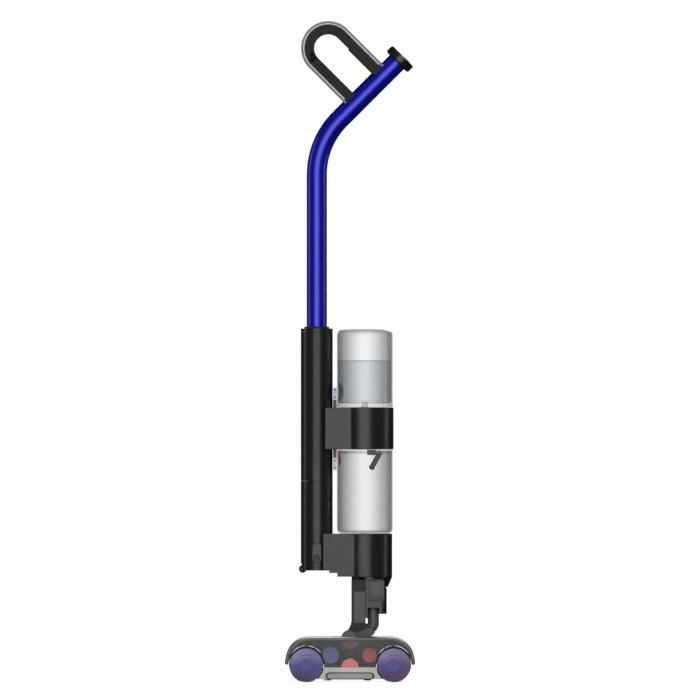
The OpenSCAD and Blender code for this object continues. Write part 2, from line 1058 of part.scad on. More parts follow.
// The bend's wall is a hair thinner than the straights', which lap over its ends.
module wand_tube() {
  color("mediumblue") {
    translate([spine_x, 0, spine_z1 - 44])
      linear_extrude(wand_h + 44 + lap)
        ring(tube_r, tube_wall);
    translate([bend_x, 0, wand_z1])
      rotate([90, 0, 0])
        rotate([0, 0, 135])
          rotate_extrude(angle = 45)
            translate([bend_r, 0])
              ring(tube_r - 0.03, tube_wall - 0.06);
    wand_frame() {
      translate([0, 0, -lap])
        linear_extrude(neck_tube_l - 6 + lap)
          ring(tube_r, tube_wall);
      rod_z(0, 0, tube_r, neck_tube_l - 6, neck_tube_l);
    }
  }
}

module loop_grip() {
  color("black")
    wand_frame()
      difference() {
        slab(-loop_depth / 2, loop_depth / 2) {
          loop_outline(loop_r - 4, loop_r - loop_band);
          translate([-loop_reach + 26, loop_s + 22.2])
            square([loop_reach - 36, 4]);
        }
        rod_z(0, 0, tube_r + 0.05, -50, 300);
      }
}

module loop_rim() {
  color("gray")
    wand_frame()
      difference() {
        slab(-loop_depth / 2 + 1, loop_depth / 2 - 1)
          loop_outline(loop_r, loop_r - 4);
        rod_z(0, 0, tube_r + 0.05, -50, 300);
      }
}

module display_housing() {
  color("black")
    wand_frame()
      translate([0, 0, neck_tube_l])
        difference() {
          rotate_extrude()
            cup_profile(display_r, display_h - 2, 4);
          rod_z(0, 0, display_r - 4, 3, display_h);
        }
}

module display_screen() {
  color("darkslategray")
    wand_frame()
      translate([0, 0, neck_tube_l])
        difference() {
          union() {
            rod_z(0, 0, display_r - 0.5, display_h - 2, display_h);
            rod_z(0, 0, display_r - 4.1, display_h - 4, display_h - 1.9);
          }
          for (s = [-1, 1])
            rod_z(11, s * 8, 5.5 + run, display_h - 5, display_h + 1);
        }
}

module panel_button(s) {
  wand_frame()
    translate([11, s * 8, neck_tube_l]) {
      rod_z(0, 0, 5.5, display_h - 5, display_h + 1);
      rod_z(0, 0, 6.5, display_h - 6, display_h - 4.4);
    }
}

module power_button() {
  color("lightgray")
    panel_button(-1);
}

module mode_button() {
  color("lightgray")
    panel_button(1);
}

// ---------- tanks ----------

module clean_tank_shell() {
  color("aliceblue", 0.5)
    translate([tank_x, 0, spine_z1])
      mirror([0, 0, 1])
        difference() {
          rotate_extrude($fn = 96)
            cup_profile(tank_r, clean_h - 7.2, 12);
          translate([0, 0, 2.2])
            rotate_extrude($fn = 96)
              cup_profile(tank_r - 2.2, clean_h, 9.8);
        }
}

module clean_tank_base() {
  color("gray")
    difference() {
      union() {
        rod_z(tank_x, 0, tank_r, collar_z1 + 0.3, collar_z1 + 7.1);
        rod_z(tank_x, 0, tank_r - 2.3, collar_z1 + 7, collar_z1 + 10);
        rod_z(tank_x, 0, valve_r + 2, collar_z1 - 5, collar_z1 + 1);
      }
      rod_z(tank_x, 0, valve_r, 0, big);
    }
}

module dirty_tank_shell() {
  color("whitesmoke", 0.6)
    translate([tank_x, 0, base_top + 0.3])
      difference() {
        rotate_extrude($fn = 96)
          cup_profile(tank_r, dirty_h - 3.3, 8);
        translate([0, 0, 2.2])
          rotate_extrude($fn = 96)
            cup_profile(tank_r - 2.2, dirty_h, 5.8);
      }
}

module dirty_tank_lid() {
  color("whitesmoke")
    difference() {
      union() {
        rod_z(tank_x, 0, tank_r, collar_z0 - 2.9, collar_z0 - 0.3);
        rod_z(tank_x, 0, tank_r - 2.3, collar_z0 - 7, collar_z0 - 2.8);
        translate([spout_x, 0, collar_z0 - 2])
          rotate([0, 29, 0])
            translate([0, 0, -34])
              cylinder(r = 4, h = 33);
      }
      rod_z(inlet_x, 0, inlet_r, collar_z0 - 7.2, big);
    }
}

head_cover();
head_chassis();
end_windows();
drive_end_plate();
roller_motors();
spray_bars();
squeegees();
hinge_beam();
hinge_yoke();
hinge_pin();
upright_stop();
rear_roller_core();
rear_roller_sleeve();
rear_roller_cap();
front_roller_core();
front_roller_sleeve();
front_roller_cap();
rear_inner_core();
rear_inner_sleeve();
front_inner_core();
front_inner_sleeve();
debris_tray();
tray_handle();
tray_feet();
tray_button();
neck_arm();
neck_side_panels();
neck_links();
neck_duct();
neck_housing();
neck_turret();
base_lower_cover();
base_housing();
base_skirt();
base_screws();
water_pumps();
hoses();
spine_front_shell();
spine_rear_shell();
battery_cover();
battery_pack();
main_board();
spine_bottom_cap();
rear_wheel();
charging_port();
collar_housing();
latch_posts();
clean_tank_button();
dirty_tank_button();
wand_tube();
loop_grip();
loop_rim();
display_housing();
display_screen();
power_button();
mode_button();
clean_tank_shell();
clean_tank_base();
dirty_tank_shell();
dirty_tank_lid();
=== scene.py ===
import bpy
import math
import random
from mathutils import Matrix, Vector


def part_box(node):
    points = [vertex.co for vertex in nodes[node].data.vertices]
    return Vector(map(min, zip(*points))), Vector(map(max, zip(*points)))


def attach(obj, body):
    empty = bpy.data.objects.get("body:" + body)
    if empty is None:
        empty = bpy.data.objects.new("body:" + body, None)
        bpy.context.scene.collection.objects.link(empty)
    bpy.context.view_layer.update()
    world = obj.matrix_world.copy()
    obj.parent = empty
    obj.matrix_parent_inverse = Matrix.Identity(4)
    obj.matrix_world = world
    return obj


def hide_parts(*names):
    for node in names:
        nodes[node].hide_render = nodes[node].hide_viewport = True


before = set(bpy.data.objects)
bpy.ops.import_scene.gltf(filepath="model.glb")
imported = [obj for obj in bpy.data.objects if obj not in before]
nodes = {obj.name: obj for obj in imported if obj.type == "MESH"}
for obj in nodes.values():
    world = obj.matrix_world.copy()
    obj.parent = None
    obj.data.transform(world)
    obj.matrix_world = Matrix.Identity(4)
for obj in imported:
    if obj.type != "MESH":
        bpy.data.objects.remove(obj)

random.seed(7)
MM = 0.001
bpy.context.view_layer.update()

# Places and sizes, in mm, that several details share.
ROLLER_X, ROLLER_Z = 75.5, 30
GUARD_R = 31.2
HALF_DISC_R = 15.9
WINDOW_SILL = 26.7
WINDOW_HALF = 44.6
HINGE_DOME_R = 15.3
DOME_SHADE_R = 14.6
LINK_TILT = math.radians(21)
LINK_HALF, LINK_REACH, LINK_START = 7.2, 37.8, 17
SPINE_X, SPINE_TOP = -57.3, 609.0
SOCKET_Z = 213.9
TANK_FLOOR = 3.6
TANK_WALL_INSET = 2.6
WATER_LEVEL = 553.0
DEFLECTOR_TILT = math.radians(29)
PILE_DEPTH = 8
WAND_BEND_R, WAND_BEND_Z = 136, 874.5
LOOP_FOOT, LOOP_TURN, LOOP_MID = 18.5, 100.4, 72
CAMERA_AWAY, CAMERA_Z, VIEW_WIDTH = 40.0, 0.572, 1.208
HALF = math.sqrt(0.5)


# ---------- colour and material helpers ----------

def lin(hexa, k=1.0):
    """Linear colour from an sRGB hex string."""
    out = []
    for i in (0, 2, 4):
        c = int(hexa[i:i + 2], 16) / 255
        c = c / 12.92 if c <= 0.04045 else ((c + 0.055) / 1.055) ** 2.4
        out.append(min(1.0, c * k))
    return (*out, 1.0)


def shade(color, k):
    """The colour made darker or lighter by a factor."""
    return tuple(min(1.0, c * k) for c in color[:3]) + (1.0,)


class Mat:
    """A node material around one Principled shader, patterned in object coordinates."""

    def __init__(self, name):
        self.m = bpy.data.materials.new(name)
        self.m.use_nodes = True
        self.t = self.m.node_tree
        self.b = self.t.nodes["Principled BSDF"]
        self.co = self.t.nodes.new("ShaderNodeTexCoord").outputs["Object"]
        self.height = None

    def new(self, kind, **inputs):
        n = self.t.nodes.new(kind)
        for k, v in inputs.items():
            n.inputs[k.replace("_", " ")].default_value = v
        return n

    def link(self, a, b):
        self.t.links.new(a, b)

    def noise(self, scale, detail=3.0, stretch=None, rough=0.5):
        n = self.new("ShaderNodeTexNoise", Scale=scale, Detail=detail, Roughness=rough)
        src = self.co
        if stretch:
            mp = self.new("ShaderNodeMapping")
            mp.inputs["Scale"].default_value = stretch
            self.link(self.co, mp.inputs["Vector"])
            src = mp.outputs["Vector"]
        self.link(src, n.inputs["Vector"])
        return n.outputs["Fac"]

    def voronoi(self, scale):
        n = self.new("ShaderNodeTexVoronoi", Scale=scale)
        self.link(self.co, n.inputs["Vector"])
        return n.outputs["Distance"]

    def ramp(self, fac, lo, hi, a=0.35, b=0.65):
        r = self.new("ShaderNodeValToRGB")
        r.color_ramp.elements[0].position = a
        r.color_ramp.elements[1].position = b
        r.color_ramp.elements[0].color = lo
        r.color_ramp.elements[1].color = hi
        self.link(fac, r.inputs["Fac"])
        return r.outputs["Color"]

    def spread(self, fac, lo, hi):
        r = self.new("ShaderNodeMapRange")
        r.inputs["From Min"].default_value = 0.3
        r.inputs["From Max"].default_value = 0.7
        r.inputs["To Min"].default_value = lo
        r.inputs["To Max"].default_value = hi
        self.link(fac, r.inputs["Value"])
        return r.outputs["Result"]

    def color(self, fac, lo, hi, a=0.35, b=0.65):
        self.link(self.ramp(fac, lo, hi, a, b), self.b.inputs["Base Color"])

    def rough(self, fac, lo, hi):
        self.link(self.spread(fac, lo, hi), self.b.inputs["Roughness"])

    def bump(self, fac, strength, distance_mm):
        n = self.new("ShaderNodeBump", Strength=strength, Distance=distance_mm * MM)
        self.link(fac, n.inputs["Height"])
        if self.height is not None:
            self.link(self.height, n.inputs["Normal"])
        self.height = n.outputs["Normal"]
        self.link(self.height, self.b.inputs["Normal"])

    def set(self, **values):
        for k, v in values.items():
            self.b.inputs[k.replace("_", " ")].default_value = v


def plastic(name, color, rough=0.35, grain=0.12, scale=900.0, tint=0.06, coat=0.0, spec=0.5):
    """Moulded plastic: faint tint drift, uneven sheen and a fine moulded grain."""
    m = Mat(name)
    m.color(m.noise(22.0, 4.0), shade(color, 1 - tint), shade(color, 1 + tint))
    m.rough(m.noise(60.0, 4.0, rough=0.6), rough - 0.03, rough + 0.03)
    m.bump(m.noise(scale, 2.0), grain, 0.03)
    m.set(Coat_Weight=coat, Coat_Roughness=0.2, Specular_IOR_Level=spec)
    return m.m


def fibre(name, color, pile_scale=650.0, depth=0.9):
    """Short pile: clumped tufts, coloured lighter at their tips as painted light and darker at their roots as
    painted shade between the tufts, with a soft sheen.
    """
    m = Mat(name)
    tufts = m.voronoi(pile_scale)
    # Painted light and shade: the colour lightens at each tuft's centre and darkens away from it, where the pile
    # dips.
    m.color(tufts, shade(color, 1.3), shade(color, 0.5), 0.1, 0.75)
    m.rough(m.noise(400.0, 3.0), 0.82, 0.98)
    m.bump(tufts, -depth, 0.9)
    m.bump(m.noise(2200.0, 2.0), 0.4, 0.25)
    m.set(Sheen_Weight=0.4, Sheen_Roughness=0.45, Specular_IOR_Level=0.2)
    return m.m


def rubber(name, color, rough=0.65):
    """Matt rubber or silicone with an uneven skin."""
    m = Mat(name)
    m.color(m.noise(60.0, 4.0), shade(color, 0.85), shade(color, 1.2))
    m.rough(m.noise(300.0, 4.0), rough - 0.08, rough + 0.1)
    m.bump(m.noise(900.0, 3.0), 0.35, 0.08)
    return m.m


def metal(name, color, rough=0.28):
    """Bare metal with brush marks along y."""
    m = Mat(name)
    m.color(m.noise(40.0, 3.0, stretch=(1, 12, 1)), shade(color, 0.88), shade(color, 1.08))
    m.rough(m.noise(900.0, 4.0, stretch=(1, 0.03, 1)), rough - 0.08, rough + 0.12)
    m.bump(m.noise(2500.0, 2.0, stretch=(1, 0.02, 1)), 0.2, 0.02)
    m.set(Metallic=1.0)
    return m.m


def lacquer(name, color, rough=0.2):
    """Painted tube: metallic flake under a clear coat, with a faint orange peel."""
    m = Mat(name)
    m.color(m.noise(30.0, 3.0), shade(color, 0.94), shade(color, 1.05))
    m.rough(m.noise(60.0, 4.0), rough - 0.03, rough + 0.03)
    m.bump(m.noise(420.0, 2.0), 0.06, 0.03)
    m.set(Metallic=0.6, Coat_Weight=0.6, Coat_Roughness=0.28)
    return m.m


def seethrough(name, color, alpha_mid, alpha_edge, rough=0.08, frost=0.0):
    """Thin clear or frosted plastic that thickens to the eye at its edges."""
    m = Mat(name)
    m.color(m.noise(18.0, 3.0), shade(color, 0.96), shade(color, 1.03))
    m.rough(m.noise(90.0, 4.0), max(0.02, rough - 0.03), rough + 0.03)
    m.bump(m.noise(700.0 if frost else 50.0, 3.0), 0.05 + frost, 0.05)
    lw = m.new("ShaderNodeLayerWeight", Blend=0.75)
    r = m.new("ShaderNodeMapRange")
    r.inputs["To Min"].default_value = alpha_mid
    r.inputs["To Max"].default_value = alpha_edge
    m.link(lw.outputs["Facing"], r.inputs["Value"])
    m.link(r.outputs["Result"], m.b.inputs["Alpha"])
    m.set(IOR=1.46, Coat_Weight=0.2, Coat_Roughness=0.05)
    return m.m


GRAPHITE = plastic("graphite", lin("1f1f20"), 0.3, grain=0.05, spec=0.36)
BLACK = plastic("black_abs", lin("141415"), 0.34, grain=0.08)
GRIP = plastic("grip_black", lin("1b1b1c"), 0.55, spec=0.25)
ARM = plastic("arm_black", lin("121213"), 0.45, spec=0.3)
DEEP_BLACK = plastic("deep_black", lin("0b0b0c"), 0.5, spec=0.3)
MID = plastic("mid_grey", lin("505254"), 0.42)
LINK = plastic("link_grey", lin("3a3e3c"), 0.42)
DOME = plastic("dome_grey", lin("4e5352"), 0.42)
PANEL = plastic("panel_grey", lin("3c3c3e"), 0.4)
COVER = plastic("cover_grey", lin("4c4f50"), 0.38, coat=0.1)
RIM = plastic("loop_rim_grey", lin("6e6e70"), 0.35)
LIGHT_LINE = plastic("light_line", lin("c8c8c8"), 0.3)
TRAY = plastic("tray_grey", lin("c2bdb6"), 0.5)
BAR = plastic("bar_grey", lin("98989a"), 0.45)
WHITE = plastic("white_abs", lin("f2f2f2"), 0.3)
BUTTON = plastic("button_grey", lin("cfcfd2"), 0.35)
RED = plastic("red_abs", lin("c8545c"), 0.35, coat=0.3)
RED_SOFT = plastic("red_beam", lin("ee6a72"), 0.45)
BLUE = plastic("blue_abs", lin("3a40a0"), 0.3, coat=0.3)
KEEPER = plastic("keeper_blue", lin("1c2a78"), 0.35)
CAP_HUB = plastic("cap_hub", lin("2c2488"), 0.4)
DISC_BLUE = plastic("disc_blue", lin("8488c8"), 0.45)
DISC_RED = plastic("disc_red", lin("e4626e"), 0.45)
FIBRE = fibre("microfibre", lin("6c66a8"))
FIBRE_BLUE = fibre("inner_fibre", lin("6468b4"), 900.0, 0.6)
RED_RUBBER = rubber("red_rubber", lin("b03a48"))
RUBBER = rubber("black_rubber", lin("161616"))
HOSE = rubber("hose_silicone", lin("cfcfca"), 0.4)
STEEL = metal("steel", lin("c4c4c6"))
PAINT = lacquer("blue_lacquer", lin("0610b8"), 0.38)
GLASSY = plastic("display_gloss", lin("08080a"), 0.12, grain=0.05, coat=0.8)
WINDOW = seethrough("smoky_window", lin("3a3d3e"), 0.34, 0.7, 0.14)
CLEAR = seethrough("tank_clear", lin("8d9294"), 0.05, 0.5, 0.1)
FROST = seethrough("tank_frost", lin("8c8c8c"), 0.07, 0.5, 0.24, 0.2)
LID = seethrough("lid_frost", lin("c8c8c8"), 0.22, 0.6, 0.3, 0.2)
WRAP = plastic("battery_wrap", lin("2450a0"), 0.3)
BOARD = plastic("board_green", lin("0f5a30"), 0.4)


def cap_material(name, x, z, painted_light_top, mid, painted_shade_bottom, side):
    """Roller end cap: moulded rings about the axis, with painted light making it pale above and painted shade
    deepening it towards the floor; its colour is also painted darker in the ring grooves as shade, and tinted
    towards +x.
    """
    m = Mat(name)
    sub = m.new("ShaderNodeVectorMath")
    sub.operation = "SUBTRACT"
    sub.inputs[1].default_value = (x * MM, 0, z * MM)
    m.link(m.co, sub.inputs[0])
    flat = m.new("ShaderNodeVectorMath")
    flat.operation = "MULTIPLY"
    flat.inputs[1].default_value = (1, 0, 1)
    m.link(sub.outputs["Vector"], flat.inputs[0])
    far = m.new("ShaderNodeVectorMath")
    far.operation = "LENGTH"
    m.link(flat.outputs["Vector"], far.inputs[0])
    sep = m.new("ShaderNodeSeparateXYZ")
    m.link(m.co, sep.inputs["Vector"])
    # Painted light and shade: the colour ramps from the dark bottom colour near the floor to the pale top colour
    # higher up.
    down = m.new("ShaderNodeMapRange")
    down.inputs["From Min"].default_value = 2 * MM
    down.inputs["From Max"].default_value = 58 * MM
    m.link(sep.outputs["Z"], down.inputs["Value"])
    painted_shade_ramp = m.new("ShaderNodeValToRGB")
    ramp = painted_shade_ramp.color_ramp
    ramp.elements[0].position, ramp.elements[0].color = 0.0, painted_shade_bottom
    ramp.elements[1].position, ramp.elements[1].color = 1.0, painted_light_top
    ramp.elements.new(0.12).color = painted_shade_bottom
    ramp.elements.new(0.5).color = mid
    ramp.elements.new(0.72).color = painted_light_top
    m.link(down.outputs["Result"], painted_shade_ramp.inputs["Fac"])
    across = m.new("ShaderNodeMapRange")
    across.inputs["From Min"].default_value = (x - 8) * MM
    across.inputs["From Max"].default_value = (x + 30) * MM
    across.inputs["To Max"].default_value = 0.55
    m.link(sep.outputs["X"], across.inputs["Value"])
    tint = m.new("ShaderNodeMix")
    tint.data_type = "RGBA"
    tint.inputs["B"].default_value = side
    m.link(across.outputs["Result"], tint.inputs["Factor"])
    m.link(painted_shade_ramp.outputs["Color"], tint.inputs["A"])
    wave = m.new("ShaderNodeMath")
    wave.operation = "SINE"
    turns = m.new("ShaderNodeMath")
    turns.operation = "MULTIPLY"
    turns.inputs[1].default_value = 2 * math.pi / (2.6 * MM)
    m.link(far.outputs["Value"], turns.inputs[0])
    m.link(turns.outputs["Value"], wave.inputs[0])
    # Painted shade in the grooves: the colour is scaled darker where the rings dip and lighter on their crests.
    groove = m.new("ShaderNodeMapRange")
    groove.inputs["From Min"].default_value = -1.0
    groove.inputs["To Min"].default_value = 0.78
    groove.inputs["To Max"].default_value = 1.12
    m.link(wave.outputs["Value"], groove.inputs["Value"])
    scale = m.new("ShaderNodeVectorMath")
    scale.operation = "SCALE"
    m.link(tint.outputs["Result"], scale.inputs[0])
    m.link(groove.outputs["Result"], scale.inputs["Scale"])
    m.link(scale.outputs["Vector"], m.b.inputs["Base Color"])
    m.rough(m.noise(200.0, 4.0), 0.34, 0.46)
    m.bump(wave.outputs["Value"], 0.25, 0.15)
    m.bump(m.noise(900.0, 2.0), 0.1, 0.03)
    return m.m


# Cap colours: painted light for the top, the middle tone, painted shade for the bottom, and the tint towards +x.
CAP_REAR = cap_material("cap_rear", -ROLLER_X, ROLLER_Z,
                        lin("8484b2"), lin("453b92"), lin("0f0c44"), lin("423a92"))
CAP_FRONT = cap_material("cap_front", ROLLER_X, ROLLER_Z,
                         lin("887eae"), lin("443890"), lin("30103f"), lin("66274f"))


def water_material():
    """Clear water, denser to the eye at its edges."""
    m = Mat("water")
    m.color(m.noise(14.0, 3.0), lin("b0c8d2"), lin("c0d6de"))
    m.rough(m.noise(120.0, 3.0), 0.02, 0.06)
    m.bump(m.noise(45.0, 3.0), 0.2, 0.6)
    lw = m.new("ShaderNodeLayerWeight", Blend=0.4)
    r = m.new("ShaderNodeMapRange")
    r.inputs["To Min"].default_value = 0.2
    r.inputs["To Max"].default_value = 0.6
    m.link(lw.outputs["Facing"], r.inputs["Value"])
    m.link(r.outputs["Result"], m.b.inputs["Alpha"])
    m.set(IOR=1.33)
    return m.m


WATER = water_material()

# ---------- CAD nodes: edge rounding and materials ----------

LOOK = {
    "head_cover": (COVER, 0.8), "head_chassis": (BLACK, 0.3), "end_windows": (WINDOW, 0.0),
    "drive_end_plate": (BLACK, 0.3), "roller_motors": (STEEL, 0.3), "spray_bars": (DEEP_BLACK, 0.2),
    "squeegees": (RUBBER, 0.2), "hinge_beam": (RED_SOFT, 0.4), "hinge_yoke": (DOME, 0.8),
    "hinge_pin": (MID, 0.3), "upright_stop": (RUBBER, 0.6),
    "rear_roller_core": (MID, 0.1), "rear_roller_cap": (CAP_REAR, 0.4),
    "front_roller_core": (MID, 0.1), "front_roller_cap": (CAP_FRONT, 0.4),
    "rear_inner_core": (MID, 0.1), "rear_inner_sleeve": (FIBRE_BLUE, 1.0),
    "front_inner_core": (MID, 0.1), "front_inner_sleeve": (RED_RUBBER, 1.2),
    "debris_tray": (TRAY, 0.5), "tray_handle": (BAR, 0.5), "tray_feet": (DEEP_BLACK, 0.3),
    "tray_button": (RED, 0.8),
    "neck_arm": (ARM, 1.0), "neck_side_panels": (PANEL, 0.5), "neck_links": (LINK, 1.2),
    "neck_duct": (MID, 0.0), "neck_housing": (BLACK, 1.0), "neck_turret": (BLACK, 0.6),
    "base_lower_cover": (GRAPHITE, 1.0), "base_housing": (GRAPHITE, 1.0), "base_skirt": (GRAPHITE, 0.8),
    "base_screws": (STEEL, 0.2), "water_pumps": (STEEL, 0.4), "hoses": (HOSE, 0.0),
    "spine_front_shell": (GRAPHITE, 0.25), "spine_rear_shell": (GRAPHITE, 0.25),
    "battery_cover": (GRAPHITE, 0.25), "battery_pack": (WRAP, 0.4), "main_board": (BOARD, 0.1),
    "spine_bottom_cap": (BLACK, 0.4), "rear_wheel": (RUBBER, 1.2), "charging_port": (BLACK, 0.6),
    "collar_housing": (GRAPHITE, 1.2), "latch_posts": (BLACK, 0.5),
    "clean_tank_button": (BLUE, 0.6), "dirty_tank_button": (RED, 0.6),
    "wand_tube": (PAINT, 0.0), "loop_grip": (GRIP, 1.2), "loop_rim": (RIM, 0.6),
    "display_housing": (BLACK, 0.4), "display_screen": (GLASSY, 0.6),
    "power_button": (BUTTON, 0.5), "mode_button": (BUTTON, 0.5),
    "clean_tank_shell": (CLEAR, 0.0), "clean_tank_base": (LID, 0.8),
    "dirty_tank_shell": (FROST, 0.0), "dirty_tank_lid": (LID, 0.3),
}


def dress(obj, material, round_mm):
    """Smooth shading with softened edges, by modifiers only."""
    obj.data.materials.clear()
    obj.data.materials.append(material)
    for p in obj.data.polygons:
        p.use_smooth = True
        p.material_index = 0
    weld = obj.modifiers.new("weld", "WELD")
    weld.merge_threshold = 1e-6
    if round_mm:
        bevel = obj.modifiers.new("bevel", "BEVEL")
        bevel.width = round_mm * MM
        bevel.segments = 3
        bevel.limit_method = "ANGLE"
        bevel.angle_limit = math.radians(38)
        bevel.use_clamp_overlap = True
    split = obj.modifiers.new("split", "EDGE_SPLIT")
    split.split_angle = math.radians(32)
    if round_mm:
        even = obj.modifiers.new("normals", "WEIGHTED_NORMAL")
        even.mode = "FACE_AREA"
        even.weight = 50
    return obj


for name, (material, round_mm) in LOOK.items():
    dress(nodes[name], material, round_mm)

# ---------- mesh helpers ----------


def piece(name, verts, faces, material, body, split=32.0, bevel=0.0):
    """A mesh in mm that rides on a CAD body."""
    mesh = bpy.data.meshes.new(name)
    mesh.from_pydata([tuple(c * MM for c in v) for v in verts], [], faces)
    mesh.validate()
    mesh.materials.append(material)
    for p in mesh.polygons:
        p.use_smooth = True
    obj = bpy.data.objects.new(name, mesh)
    bpy.context.scene.collection.objects.link(obj)
    if bevel:
        b = obj.modifiers.new("bevel", "BEVEL")
        b.width = bevel * MM
        b.segments = 3
        b.limit_method = "ANGLE"
        b.angle_limit = math.radians(35)
    s = obj.modifiers.new("split", "EDGE_SPLIT")
    s.split_angle = math.radians(split)
    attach(obj, body)
    return obj


def closed_turn(seg, n):
    """Faces of a turned shape whose profile of n points closes on itself."""
    return [(i * n + k, i * n + (k + 1) % n, (i + 1) % seg * n + (k + 1) % n, (i + 1) % seg * n + k)
            for i in range(seg) for k in range(n)]


def open_turn(seg, n):
    """Faces of a turned shape whose profile of n points is open."""
    return [(i * n + k, (i + 1) % seg * n + k, (i + 1) % seg * n + k + 1, i * n + k + 1)
            for i in range(seg) for k in range(n - 1)]


def lathe_y(name, profile, x, z, material, body, seg=96):
    """A closed turned shape about an axis along y; profile is (radius, y) pairs."""
    verts = []
    n = len(profile)
    for i in range(seg):
        a = 2 * math.pi * i / seg
        for r, y in profile:
            verts.append((x + r * math.cos(a), y, z + r * math.sin(a)))
    return piece(name, verts, closed_turn(seg, n), material, body)


def lathe_z(name, profile, x, y, material, body, seg=96):
    """A turned shape about a vertical axis; profile is (radius, z) pairs from the axis and back."""
    verts = []
    n = len(profile)
    for i in range(seg):
        a = 2 * math.pi * i / seg
        for r, z in profile:
            verts.append((x + r * math.cos(a), y + r * math.sin(a), z))
    return piece(name, verts, open_turn(seg, n), material, body)


def prism(name, outline, y0, y1, material, body, bevel=0.3):
    """A closed outline in x and z with thickness along y."""
    n = len(outline)
    verts = [(x, y0, z) for x, z in outline] + [(x, y1, z) for x, z in outline]
    faces = [tuple(range(n))[::-1], tuple(range(n, 2 * n))]
    faces += [(i, (i + 1) % n, (i + 1) % n + n, i + n) for i in range(n)]
    return piece(name, verts, faces, material, body, bevel=bevel)


def stadium(x, z, w, h, seg=16):
    """Outline of a rounded bar."""
    r = min(w, h) / 2
    out = []
    if w > h:
        ends = ((x + w / 2 - r, z, -90), (x - w / 2 + r, z, 90))
    else:
        ends = ((x, z + h / 2 - r, 0), (x, z - h / 2 + r, 180))
    for cx, cz, a0 in ends:
        for i in range(seg + 1):
            a = math.radians(a0 + 180 * i / seg)
            out.append((cx + r * math.cos(a), cz + r * math.sin(a)))
    return out


def frame_prism(name, outer, inner, y0, y1, material, body):
    """A flat ring between two outlines with the same number of points."""
    n = len(outer)
    verts = [(x, y0, z) for x, z in outer] + [(x, y0, z) for x, z in inner]
    verts += [(x, y1, z) for x, z in outer] + [(x, y1, z) for x, z in inner]
    faces = []
    for i in range(n):
        j = (i + 1) % n
        faces.append((i, i + n, j + n, j))
        faces.append((i + 2 * n, j + 2 * n, j + 3 * n, i + 3 * n))
        faces.append((i, j, j + 2 * n, i + 2 * n))
        faces.append((i + n, i + 3 * n, j + 3 * n, j + n))
    return piece(name, verts, faces, material, body)


def strip(name, path, w, y0, y1, material, body):
    """A band of width w that follows a path in x and z, with thickness along y."""
    verts, faces = [], []
    n = len(path)
    for i, (x, z) in enumerate(path):
        ax, az = path[max(0, i - 1)]
        bx, bz = path[min(n - 1, i + 1)]
        dx, dz = bx - ax, bz - az
        d = math.hypot(dx, dz) or 1
        ux, uz = -dz / d * w / 2, dx / d * w / 2
        verts += [(x + ux, y0, z + uz), (x - ux, y0, z - uz), (x - ux, y1, z - uz), (x + ux, y1, z + uz)]
    for i in range(n - 1):
        for k in range(4):
            l = (k + 1) % 4
            faces.append((4 * i + k, 4 * i + l, 4 * i + 4 + l, 4 * i + 4 + k))
    faces += [(0, 3, 2, 1), tuple(4 * n - 4 + k for k in range(4))]
    return piece(name, verts, faces, material, body)


# ---------- sizes read from the CAD ----------

def mm(node):
    """Low and high corners of a CAD node's box, in mm."""
    lo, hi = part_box(node)
    return [c / MM for c in lo], [c / MM for c in hi]


def middle(lo, hi):
    """Centre of a box in x and z."""
    return (lo[0] + hi[0]) / 2, (lo[2] + hi[2]) / 2


cover_lo, cover_hi = mm("head_cover")
tank_lo, tank_hi = mm("clean_tank_shell")
tank_x = (tank_lo[0] + tank_hi[0]) / 2
tank_r = (tank_hi[1] - tank_lo[1]) / 2

# ---------- microfibre sleeves ----------


def sleeve(name, node, body):
    """A fibre sleeve with a lightly ragged, spiralled pile, in place of the CAD one."""
    lo, hi = mm(node)
    x, z = middle(lo, hi)
    r0 = (hi[2] - lo[2]) / 2
    inner = r0 - PILE_DEPTH
    seg, rows = 220, 200
    verts, faces = [], []
    rnd = random.Random(len(name))
    for k in range(rows + 1):
        y = lo[1] + (hi[1] - lo[1]) * k / rows
        edge = min(1.0, min(y - lo[1], hi[1] - y) / 3.0)
        for i in range(seg):
            a = 2 * math.pi * i / seg
            wave = 0.5 + 0.5 * math.sin(6 * a + y * 0.055)
            r = r0 - (1 - edge) ** 2 * 1.6 - 0.55 * wave - rnd.random() * 0.7
            verts.append((x + r * math.cos(a), y, z + r * math.sin(a)))
    for k in range(rows):
        for i in range(seg):
            j = (i + 1) % seg
            faces.append((k * seg + i, k * seg + j, (k + 1) * seg + j, (k + 1) * seg + i))
    for k, y in ((0, lo[1]), (rows, hi[1])):
        base = len(verts)
        for i in range(seg):
            a = 2 * math.pi * i / seg
            verts.append((x + inner * math.cos(a), y, z + inner * math.sin(a)))
        for i in range(seg):
            j = (i + 1) % seg
            faces.append((k * seg + i, base + i, base + j, k * seg + j) if k == 0
                         else (k * seg + i, k * seg + j, base + j, base + i))
    obj = piece(name, verts, faces, FIBRE, body, split=180.0)
    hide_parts(node)
    return obj


sleeve("rear_pile", "rear_roller_sleeve", "rear_roller")
sleeve("front_pile", "front_roller_sleeve", "front_roller")

